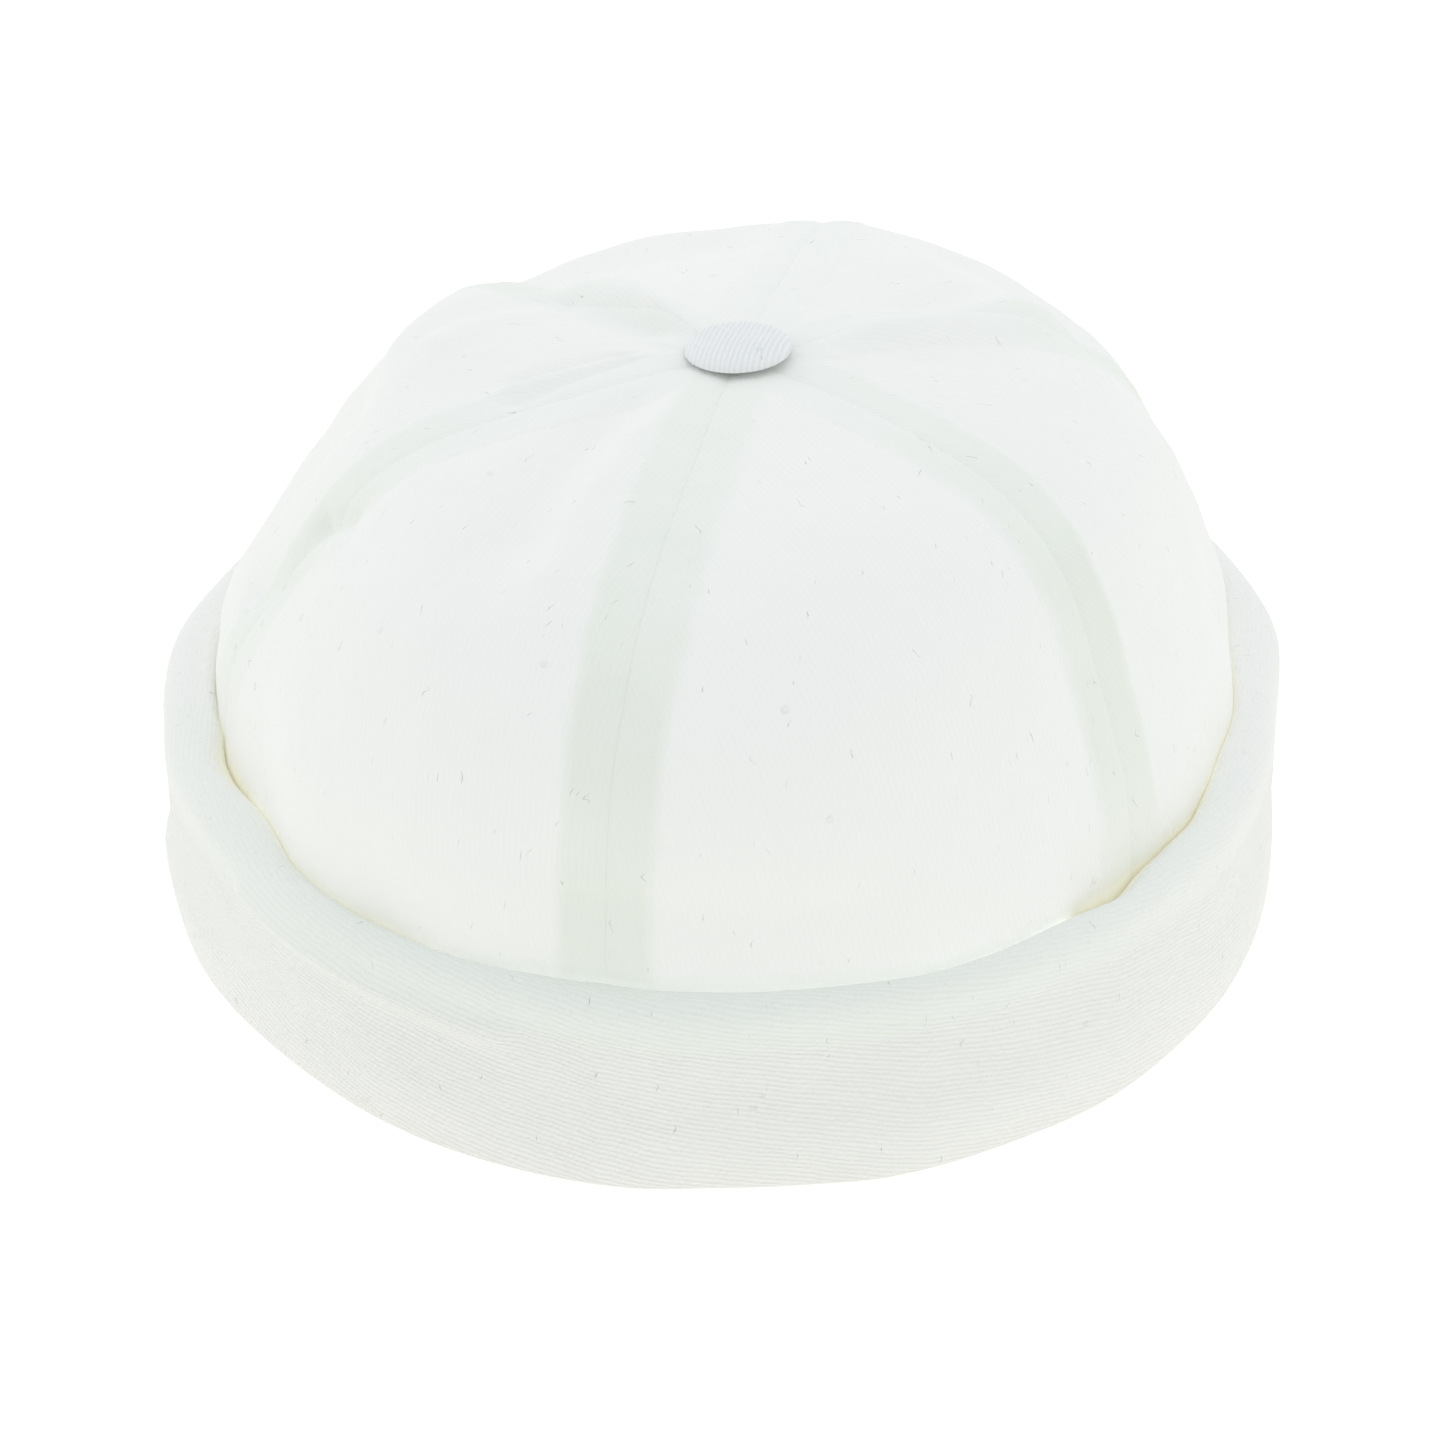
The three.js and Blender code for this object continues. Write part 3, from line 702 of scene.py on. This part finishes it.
def twill_finish(name, slant, base, patches=(), paint_tuck_light=False, contrast=1.0, rib_height=0.1):
    """Cotton twill. slant is the angle of its ribs on the cloth map and base its colour. patches
    holds pairs of a function, which gives the wire that is 1 on a patch, and the patch's colour.
    With the flag for tucks set, painted light and painted emitted light, standing for light through
    the cloth, lighten it where it lies between crown and cuff, and painted warm shade darkens it
    where those two stand apart."""
    cloth = settings().cloth
    pitch, yarn = cloth.rib_pitch / MM, cloth.yarn / MM
    finish = Finish(
        name, Roughness=0.92, Sheen_Weight=0.12, Sheen_Roughness=0.45, Specular_IOR_Level=0.25,
        Emission_Strength=1 if paint_tuck_light else 0,
    )
    flat = finish.node("ShaderNodeUVMap", uv_map=CLOTH_MAP)
    parts = finish.node("ShaderNodeSeparateXYZ", {0: flat})
    across, along = parts, parts.output("Y")
    space = finish.node("ShaderNodeTexCoord", output="Object")

    # Ribs that waver a little, the floats of yarn that make them up, and fuzz over both
    waver = (finish.noise(flat, 0.11) - 0.5) * 1.1 + (finish.noise(flat, 0.9) - 0.5) * 0.25
    lean = math.radians(slant)
    count = (across * math.sin(lean) - along * math.cos(lean) + waver) / pitch
    rib = ((count * (2 * math.pi)).sine() * 0.5 + 0.5) ** RIB_ROUND
    float_count = (across * math.cos(lean) + along * math.sin(lean)) / (FLOAT_YARNS * yarn)
    floats = ((float_count + count * 0.37) * (2 * math.pi)).sine() * 0.5 + 0.5
    fuzz = finish.noise(flat, 2.6, 3.0)
    slub = finish.noise(flat, 0.35, 1.0)

    # Neps: small knots of fibre here and there
    nearest, chance = finish.spots(space, NEP_SCALE)
    nep = (1 - finish.step(nearest, 0.03, 0.085)) * finish.step(chance, 0.62, 0.64)

    show = finish.attribute("rib_show")
    height = rib * show * rib_height * (floats * 0.3 + 0.7) + fuzz * (0.5 * rib_height)
    height = height + slub * 0.22 + nep * 0.16
    finish.shade("Normal", finish.node("ShaderNodeBump", {"Height": height, "Distance": MM}))

    # Lint: short curled fibres, each drawn out from a point of a narrow cell
    curl = finish.vector_math("SCALE", finish.noise(flat, 0.3, output="Color"), LINT_CURL, 3)
    strewn = finish.vector_math("MULTIPLY", finish.vector_math("ADD", flat, curl), LINT_CELLS)
    nearest, chance = finish.spots(strewn, 1.0, voronoi_dimensions="2D")
    lint = (1 - finish.step(nearest, 0.02, 0.07)) * finish.step(chance, 0.8, 1.0)

    tone = base
    for mask, patch in patches:
        tone = finish.mix(mask(finish, space), tone, patch)
    mottle = finish.noise(space, 38.0, 3.0)
    # Painted shade in the valleys between ribs, and the cloth's own darker fuzz, mottling and neps
    valley_shade_and_mottle = 0.05 * show * (1 - rib) + 0.03 * (1 - fuzz) + 0.035 * (1 - mottle)
    valley_shade_and_mottle = valley_shade_and_mottle * contrast + nep * 0.05
    tone = finish.mix(valley_shade_and_mottle, tone, YARN_SHADE_AND_MOTTLE)
    tone = finish.mix(lint * 0.45, tone, LINT_COLOUR)
    # Painted light and a painted glow where the cloth lies between crown and cuff, and painted warm
    # shade where the two stand apart
    if paint_tuck_light:
        tucked = finish.attribute("tucked")
        parted = finish.attribute("parted")
        painted_tuck_tone = finish.mix(parted, cloth.tucked, cloth.parted)
        painted_glow = finish.mix(parted, cloth.painted_glow, cloth.parted_glow)
        tone = finish.mix(tucked, tone, painted_tuck_tone)
        finish.shade("Emission Color", finish.mix(tucked, (0, 0, 0), painted_glow))
    finish.shade("Base Color", tone)
    return finish.material


def seam_band(finish, space):
    """1 on the doubled cloth along a seam"""
    frayed = finish.attribute("seam_near") + (finish.noise(space, 160.0) - 0.5) * 1.6
    patchy = finish.noise(space, 48.0, 1.0) * 1.2 + 0.4
    return (1 - finish.step(frayed, 5.6, 9.2)) * finish.attribute("seam_show") * patchy


def rises(finish, space, low, high):
    """0 below the height low, in metres, and 1 above high"""
    height = finish.node("ShaderNodeSeparateXYZ", {0: space}).output("Z")
    return finish.step(height, low, high)


def hem_band(finish, space):
    """1 on the doubled hem along the cuff's top edge"""
    cuff = settings().cuff
    foot = cuff.height - cuff.hem
    return rises(finish, space, foot - 0.0018, foot + 0.0004) * finish.attribute("hem_show")


def foot_floor_light(finish, space):
    """Grows towards the cuff's foot: painted light from the floor"""
    return (1 - rises(finish, space, 0.001, 0.016)) * 0.7


# ---- Pieces ----


def tucked_share(height):
    """0 above the cuff's top edge, 1 deep between crown and cuff"""
    rim = settings().cuff.height / MM
    return 1 - smoothstep(height, rim - TUCK_DEPTH, rim + TUCK_RISE)


def lit_share(height):
    """Share of painted light, emitted as well as in the colour, on the crown's cloth above the
    cuff's top edge, standing for light through the cloth
    """
    rim = settings().cuff.height / MM
    return LIT_SHARE * np.exp(-np.maximum(height - rim, 0) / LIT_RISE)


def parted_share(azimuth):
    """1 where crown and cuff stand apart, 0 where the cuff lies snugly on the crown's front"""
    snug = np.exp(-((wrap_degrees(azimuth - 17) / 38) ** 4))
    return 1 - (1 - smoothstep(slit_width(azimuth), 0.3, 1.3)) * (0.3 + 0.7 * snug)


class CAP_OT_crown_panels(Operator):
    """Make the six crown panels with their folds, seam grooves and puckers"""

    bl_idname = "docker_cap.crown_panels"
    bl_label = "Crown Panels"

    def execute(self, context):
        crown, cloth = settings().crown, settings().cloth
        material = twill_finish(
            "crown_twill", 104, cloth.crown, ((seam_band, cloth.band),),
            paint_tuck_light=True, contrast=0.4, rib_height=0.03,
        )
        for panel in range(PANELS):
            piece, share, rise = cloth_grid(f"panel_{panel + 1}", crown.columns, crown.rows)
            rise = rise * CLOTH_TOP
            share = share - 0.5 * np.sin(2 * math.pi * share) / (2 * math.pi)
            left, right = seam_azimuth(panel, rise), seam_azimuth(panel + 1, rise)
            breadth = np.radians(right - left) * crown_reach((left + right) / 2, rise)
            edge = np.minimum(crown.seam_gap / MM / 2 / breadth, 0.2)
            share = edge + (1 - 2 * edge) * share
            point, near = crown_cloth(panel, share, rise)
            move_points(piece, point)
            lay_flat_map(piece, (share - 0.5) * breadth, rise * CROWN_ARC)
            height = point[:, 2]
            mark_points(
                piece, seam_near=near, seam_show=band_show(panel, share, rise),
                # Marks where painted light, a painted glow and painted warm shade go near the
                # cuff's edge
                tucked=np.maximum(tucked_share(height), lit_share(height)),
                parted=parted_share(np.degrees(np.arctan2(point[:, 0], -point[:, 1]))),
            )
            give_thickness(piece, crown.cloth)
            finish_piece(piece, material, "crown_twill", f"crown_panel_{panel + 1}")
        return {"FINISHED"}


class CAP_OT_seam_strips(Operator):
    """Make the strips of pressed-open allowance under the six seams"""

    bl_idname = "docker_cap.seam_strips"
    bl_label = "Seam Strips"

    def execute(self, context):
        crown, cloth = settings().crown, settings().cloth
        material = twill_finish("strip_twill", 76, cloth.inside)
        depth = crown.cloth / MM + STRIP_GAP
        for seam in range(PANELS):
            piece, share, rise = cloth_grid(f"strip_{seam + 1}", 24, 96)
            rise = STRIP_FOOT + rise * (STRIP_TOP - STRIP_FOOT)
            side = 2 * share - 1
            panel = np.where(side < 0, seam - 1, seam) % PANELS
            left, right = seam_azimuth(panel, rise), seam_azimuth(panel + 1, rise)
            reach = np.radians(1) * crown_reach(seam_azimuth(seam, rise), rise)
            span = (right - left) * reach
            offset = side * np.minimum(crown.band / MM, BAND_SHARE * span)
            share = np.where(side < 0, 1, 0) + offset / span
            point, _ = crown_cloth(panel, share, rise, depth)
            move_points(piece, point)
            lay_flat_map(piece, offset, rise * CROWN_ARC)
            give_thickness(piece, crown.tape)
            finish_piece(piece, material, "seam_cloth", f"seam_tape_{seam + 1}")
        return {"FINISHED"}


def slit_width(azimuth):
    """How far the cuff's roll stands off the crown, in millimetres"""
    shares = ((wrap_degrees(azimuth - slit.azimuth) / slit.spread) ** 2 for slit in SLITS)
    return sum(slit.width * np.exp(-share) for slit, share in zip(SLITS, shares))


def cuff_section(slit):
    """Corners of the cuff's section where the roll stands off the crown by slit: place between
    the crown's hem at 0, the crown's face at 1 and the cuff's outer face at 2, distance beyond
    that place, and height. They run from the lip's top down inside, out along the floor, up the
    outer face, over the roll and down behind the crown."""
    cuff = settings().cuff
    relief, lip, roll, wall = (
        size / MM for size in (cuff.hem_relief, cuff.lip, cuff.roll, cuff.wall)
    )
    top, foot = cuff.height / MM, (cuff.height - cuff.hem) / MM
    lip_top, floor = cuff.lip_height / MM, cuff.floor / MM
    drop = 1 + slit
    corners = [
        (0, 0, lip_top),
        (0, -lip, lip_top),
        (0, -lip, 1.2),
        (0, -lip + 1.2, 0),
        (2, -1.5, 0),
        (2, -0.4, 0.4),
        (2, 0, 1.5),
        (2, 0, foot - 0.4),
        (2, relief, foot + 0.2),
    ]
    for degrees in range(0, 91, 15):
        turn = math.radians(degrees)
        place = 1.5 + 0.5 * math.cos(turn)
        corners.append((place, relief * (place - 1), top - roll * (1 - math.sin(turn))))
    corners += [
        (1.2, 0.8 * slit, top - 0.1),
        (1, slit + 0.6, top - 0.45),
        (1, slit + 0.15, top - 0.9),
        (1, 0.45 * slit, top - 0.5 * drop - 0.5),
        (1, 0, top - drop - 0.4),
        (1, 0, foot - 1),
        (2, -wall, foot - 3.5),
        (2, -wall, floor + 0.8),
        (2, -wall - 0.8, floor),
        (0, 0.4, floor),
        (0, 0, floor + 0.4),
    ]
    return np.array(corners, float).T


def crown_wall(azimuths, heights):
    """Reach of the crown's outer face from the cap's middle, for each azimuth and height"""
    turn, rise = np.meshgrid(np.arange(0, 360, 0.75), np.linspace(0, 0.36, 40))
    panel = sum((turn >= seam_azimuth(seam, rise)).astype(int) for seam in range(1, PANELS))
    left, right = seam_azimuth(panel, rise), seam_azimuth(panel + 1, rise)
    point, _ = crown_cloth(panel, (turn - left) / (right - left), rise)
    around = np.degrees(np.arctan2(point[..., 0], -point[..., 1]))
    reach, height = (
        np.array([np.interp(azimuths, a, v, period=360) for a, v in zip(around, values)])
        for values in (np.hypot(point[..., 0], point[..., 1]), point[..., 2])
    )
    return np.array([np.interp(heights, h, r) for h, r in zip(height.T, reach.T)])


def cuff_swell(azimuth, height):
    """How far the cuff's outer face stands out beyond its oval, in millimetres"""
    columns = [CUFF_TURNS[name] for name in ("foot", "waist", "shoulder", "rim")]
    rows = np.array(columns, float).T
    place = azimuth % 360 / 360 * len(rows)
    row = np.floor(place).astype(int)
    turns = (rows[(row + step) % len(rows)] for step in (-1, 0, 1, 2))
    values = cubic(*turns, (place - row)[:, None])
    climb = np.clip(height / (settings().cuff.height / MM), 0, 1)
    return smooth_value(values, climb * (len(columns) - 1))


def cuff_folds(azimuth, height):
    """How far the cuff's own folds push it out, in millimetres"""
    lift = 0
    for fold in CUFF_FOLDS:
        across = wrap_degrees(azimuth - fold.azimuth) * CUFF_DEGREE
        line_across = wrap_degrees(fold.to_azimuth - fold.azimuth) * CUFF_DEGREE
        line_along = fold.to_height - fold.height
        fade = fold_fade(across, height - fold.height, line_across, line_along, fold.breadth)
        lift = lift + fold.lift * fade
    return lift


def cuff_rings(azimuths):
    """The cuff's section at each azimuth in even steps: place, reach, height and run along it"""
    cuff = settings().cuff
    oval = outward(azimuths)[:, :2] / (cuff.half_width, cuff.half_length)
    levels = np.arange(0, 41.0)
    walls = crown_wall(azimuths, [RINGS["height"][0], *levels])
    rings = []
    for azimuth, outer, (hem, *wall), slit in zip(
        azimuths, 1 / np.hypot(*oval.T) / MM, walls, slit_width(azimuths)
    ):
        place, offset, height = cuff_section(slit)
        crown = np.interp(height, levels, wall) + cuff.clearance / MM
        face = outer + cuff_swell(np.full(len(height), azimuth), height)
        inside, outside = hem + (crown - hem) * place, crown + (face - crown) * (place - 1)
        corners = np.stack([place, np.where(place < 1, inside, outside) + offset, height])
        corners = np.append(corners, corners[:, :1], 1)
        run = np.append(0, np.cumsum(np.hypot(*np.diff(corners[1:]))))
        even = run[-1] * np.arange(cuff.steps) / cuff.steps
        rings.append([*(np.interp(even, run, values) for values in corners), even])
    rings = np.array(rings).transpose(1, 0, 2)
    for _ in range(2):  # rounds the corners
        before, after = (np.roll(rings[1:3], shift, -1) for shift in (1, -1))
        rings[1:3] = (before + 2 * rings[1:3] + after) / 4
    return rings


class CAP_OT_cuff(Operator):
    """Make the turned-up cuff with its hem, its folds and its join at the back"""

    bl_idname = "docker_cap.cuff"
    bl_label = "Cuff"

    def execute(self, context):
        cuff, cloth = settings().cuff, settings().cloth
        deselect()
        bpy.ops.mesh.primitive_torus_add(
            major_segments=cuff.sections, minor_segments=cuff.steps,
            major_radius=1, minor_radius=0.25,
        )
        piece = name_piece("turned_up_cuff")
        ring = vertex_points(piece)
        turn = np.degrees(np.arctan2(ring[:, 1], ring[:, 0]))
        section = np.rint(turn / 360 * cuff.sections).astype(int) % cuff.sections
        tilt = np.degrees(np.arctan2(ring[:, 2], np.hypot(ring[:, 0], ring[:, 1]) - 1))
        step = np.rint((tilt - 180) / 360 * cuff.steps).astype(int) % cuff.steps

        azimuths = 90 + 360 * np.arange(cuff.sections) / cuff.sections
        azimuth = azimuths[section]
        place, radius, height, run = cuff_rings(azimuths)[:, section, step]
        away = outward(azimuth)
        outside = np.clip(place - 1, 0, 1)
        flat_ring = away * radius[:, None]
        uneven = flat_ring + np.outer(2 * height, (0, 0, 1))
        folds = cuff_folds(azimuth, height) + unevenness(uneven, CUFF_SLACK)
        wave = cuff.wave / MM * unevenness(flat_ring, EDGE_WAVE)
        rise = height / (cuff.height / MM)
        height = height + wave * smoothstep(rise, 0.2, 1)
        from_join = wrap_degrees(azimuth - 180) * BACK_DEGREE
        join = JOIN_DEPTH * np.exp(-((from_join / JOIN_BREADTH) ** 2))
        point = away * (radius + outside * (folds - join))[:, None]
        point[:, 2] = height
        move_points(piece, point)

        lay_ring_map(piece, turn, run, circumference=cloth.rib_pitch / MM * RIBS_ROUND)
        material = twill_finish(
            "cuff_twill", -10, cloth.cuff, ((hem_band, cloth.hem), (foot_floor_light, cloth.foot)),
            paint_tuck_light=True, contrast=1.3, rib_height=0.19,
        )
        front = np.exp(-((wrap_degrees(azimuth - 5) / 55) ** 2))
        roll = smoothstep(height, 26, 31)
        # Painted warm shade on the roll's inner side where it stands off the crown, and painted
        # light with a painted glow on the inner top of the roll
        shaded = 0.4 * tucked_share(height - 0.45 * slit_width(azimuth))
        rolled = smoothstep(run / run.max(), 0.5, 0.55)
        inner = (1 - smoothstep(place, 1, 1.2)) * rolled
        tucked = inner * np.maximum(tucked_share(height), shaded)
        lit = 0.16 * rolled * (1 - smoothstep(place, 1.1, 1.6))
        mark_points(
            piece, hem_show=front, rib_show=0.6 + 0.4 * front - 0.4 * roll,
            tucked=np.maximum(tucked, lit), parted=parted_share(azimuth),
        )
        finish_piece(piece, material, "cuff_twill", "cuff")
        return {"FINISHED"}


class CAP_OT_button(Operator):
    """Make the covered button with its shank and back plate"""

    bl_idname = "docker_cap.button"
    bl_label = "Button"

    def execute(self, context):
        button, cloth = settings().button, settings().cloth
        radius = button.radius / MM
        crown_top = RINGS["height"][-1] * MM
        seat = crown_top + button.seat
        piece, across, along = cloth_grid("covered_button", button.cells, button.cells)
        square_x, square_y = 2 * across - 1, 2 * along - 1
        x = radius * square_x * np.sqrt(1 - square_y**2 / 2)
        y = radius * square_y * np.sqrt(1 - square_x**2 / 2)
        out = np.hypot(x, y) / radius
        lean = math.radians(BUTTON_SLANT)
        count = (x * math.sin(lean) - y * math.cos(lean)) / (cloth.rib_pitch / MM)
        rib = (0.5 + 0.5 * np.sin(2 * math.pi * count)) ** RIB_ROUND
        dome = button.dome * np.maximum(1 - out**2.6, 0) ** 0.45
        ribs = button.rib * (rib - 0.5) * (1 - smoothstep(out, 0.86, 1))
        height = (seat + button.under + dome + ribs) / MM
        move_points(piece, np.stack([x, y, height], -1))
        lay_flat_map(piece, x, y)

        bpy.ops.object.mode_set(mode="EDIT")
        bpy.ops.mesh.select_mode(type="EDGE")
        bpy.ops.mesh.select_all(action="DESELECT")
        bpy.ops.mesh.select_non_manifold()
        previous = 1
        for drop, breadth in BUTTON_UNDERSIDE:
            fall = (0, 0, -drop * button.under)
            bpy.ops.mesh.extrude_region_move(TRANSFORM_OT_translate={"value": fall})
            scale = breadth / previous
            bpy.ops.transform.resize(value=(scale, scale, 1), center_override=(0, 0, 0))
            previous = breadth
        bpy.ops.mesh.edge_face_add()
        bpy.ops.object.mode_set(mode="OBJECT")

        parts = [piece]
        plate_top = crown_top - button.plate_drop
        for part_radius, low, high in (
            (button.shank, plate_top - SHANK_IN_PLATE, seat + SHANK_IN_CUSHION),
            (button.plate, plate_top - button.plate_thickness, plate_top),
        ):
            deselect()
            bpy.ops.mesh.primitive_cylinder_add(
                vertices=64, radius=part_radius, depth=high - low, location=(0, 0, (low + high) / 2)
            )
            part = bpy.context.object
            bpy.ops.object.transform_apply(location=True, rotation=False, scale=False)
            modify(part, "BEVEL", width=0.2 * MM, segments=2)
            part.data.uv_layers[0].name = CLOTH_MAP
            parts.append(part)
        select(*parts)
        bpy.ops.object.join()
        point = vertex_points(piece) / MM
        point[:, 2] += point[:, 0] * math.tan(button.tilt)
        point[:, :2] += crown_axis()
        move_points(piece, point)
        material = twill_finish(
            "button_twill", BUTTON_SLANT, cloth.button, contrast=2.4, rib_height=0.07
        )
        finish_piece(piece, material, "button_twill", "top_button")
        return {"FINISHED"}


# ---- Stage ----


def add_area_light(name, energy, size, location, tint):
    deselect()
    bpy.ops.object.light_add(type="AREA", location=location)
    light = name_piece(name)
    light.data.energy = energy
    light.data.size = size
    light.data.color = tint
    way = np.array(LIGHTS_AIM) - np.array(location)
    flat = math.hypot(way[0], way[1])
    light.rotation_euler = (math.atan2(flat, -way[2]), 0, math.atan2(-way[0], way[1]))


class CAP_OT_stage(Operator):
    """Make the floor, the even light and the camera"""

    bl_idname = "docker_cap.stage"
    bl_label = "Stage"

    def execute(self, context):
        stage = settings().stage
        deselect()
        bpy.ops.mesh.primitive_plane_add(size=stage.floor, location=(0, 0, 0))
        floor = name_piece("floor")
        paint = Finish(
            "floor_paint", Roughness=1.0, Specular_IOR_Level=0.0,
            Emission_Color=(1, 0.995, 0.95, 1), Emission_Strength=0.78,
        )
        grain = paint.noise(paint.node("ShaderNodeTexCoord", output="Object"), 3.0)
        paint.shade("Base Color", paint.mix(grain, (0.35, 0.35, 0.34), (0.36, 0.36, 0.35)))
        floor.data.materials.append(paint.material)

        scene = context.scene
        world = scene.world or bpy.data.worlds.new("studio")
        scene.world = world
        world.use_nodes = True
        world.node_tree.nodes.clear()
        sky = Nodes(world.node_tree)
        way = sky.node("ShaderNodeTexCoord", output="Generated")
        way = sky.node("ShaderNodeSeparateXYZ", {0: way})
        tint = sky.mix(way.output("Z"), (1.0, 1.0, 0.955), (0.975, 1.0, 1.03))
        strength = way.output("Y") * stage.sky_tilt + stage.sky
        even = sky.node("ShaderNodeBackground", {"Color": tint, "Strength": strength})
        white = sky.node("ShaderNodeBackground", {"Color": (1, 1, 1, 1)})
        seen = sky.node("ShaderNodeLightPath", output="Is Camera Ray")
        choice = sky.node("ShaderNodeMixShader", {0: seen, 1: even, 2: white})
        sky.node("ShaderNodeOutputWorld", {"Surface": choice})
        scene.view_settings.view_transform = "Standard"

        add_area_light("light_above", stage.key, 1.4, (0.1, 0.25, 1.5), (0.97, 0.99, 1))
        add_area_light("light_left", stage.left, 1.2, (-1.5, 0.2, 0.7), (1, 1, 0.98))
        add_area_light("light_right", stage.right, 1.2, (1.5, 0.1, 0.7), (1, 1, 0.98))

        turn, lift = stage.azimuth, stage.elevation
        away = (math.sin(turn) * math.cos(lift), -math.cos(turn) * math.cos(lift), math.sin(lift))
        place = np.array(away) * stage.distance + (0, 0, stage.aim_height)
        tilt = math.pi / 2 - lift - stage.dip
        bpy.ops.object.camera_add(location=place, rotation=(tilt, 0, turn))
        camera = name_piece("camera")
        camera.data.lens = stage.lens
        camera.data.sensor_width = 36
        camera.data.clip_start = 0.01
        camera.data.clip_end = 50
        scene.camera = camera
        return {"FINISHED"}


PIECE_OPERATORS = (CAP_OT_crown_panels, CAP_OT_seam_strips, CAP_OT_cuff, CAP_OT_button)


class CAP_PT_panel(Panel):
    """Sidebar panel that lists the cap's operators"""

    bl_label = "Docker Cap"
    bl_idname = "CAP_PT_panel"
    bl_space_type = "VIEW_3D"
    bl_region_type = "UI"
    bl_category = "Docker Cap"

    def draw(self, context):
        for maker in (*PIECE_OPERATORS, CAP_OT_stage):
            self.layout.operator(maker.bl_idname)


CLASSES = (
    CapCrownSettings, CapCuffSettings, CapButtonSettings, CapClothSettings, CapStageSettings,
    CapSettings, *PIECE_OPERATORS, CAP_OT_stage, CAP_PT_panel,
)


def register():
    for item in CLASSES:
        bpy.utils.register_class(item)
    bpy.types.Scene.docker_cap = PointerProperty(type=CapSettings)


def unregister():
    del bpy.types.Scene.docker_cap
    for item in reversed(CLASSES):
        bpy.utils.unregister_class(item)


def main():
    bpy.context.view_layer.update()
    register()
    bpy.ops.docker_cap.crown_panels()
    bpy.ops.docker_cap.seam_strips()
    bpy.ops.docker_cap.cuff()
    bpy.ops.docker_cap.button()
    bpy.ops.docker_cap.stage()
    bpy.context.view_layer.update()


if __name__ == "__main__":
    main()
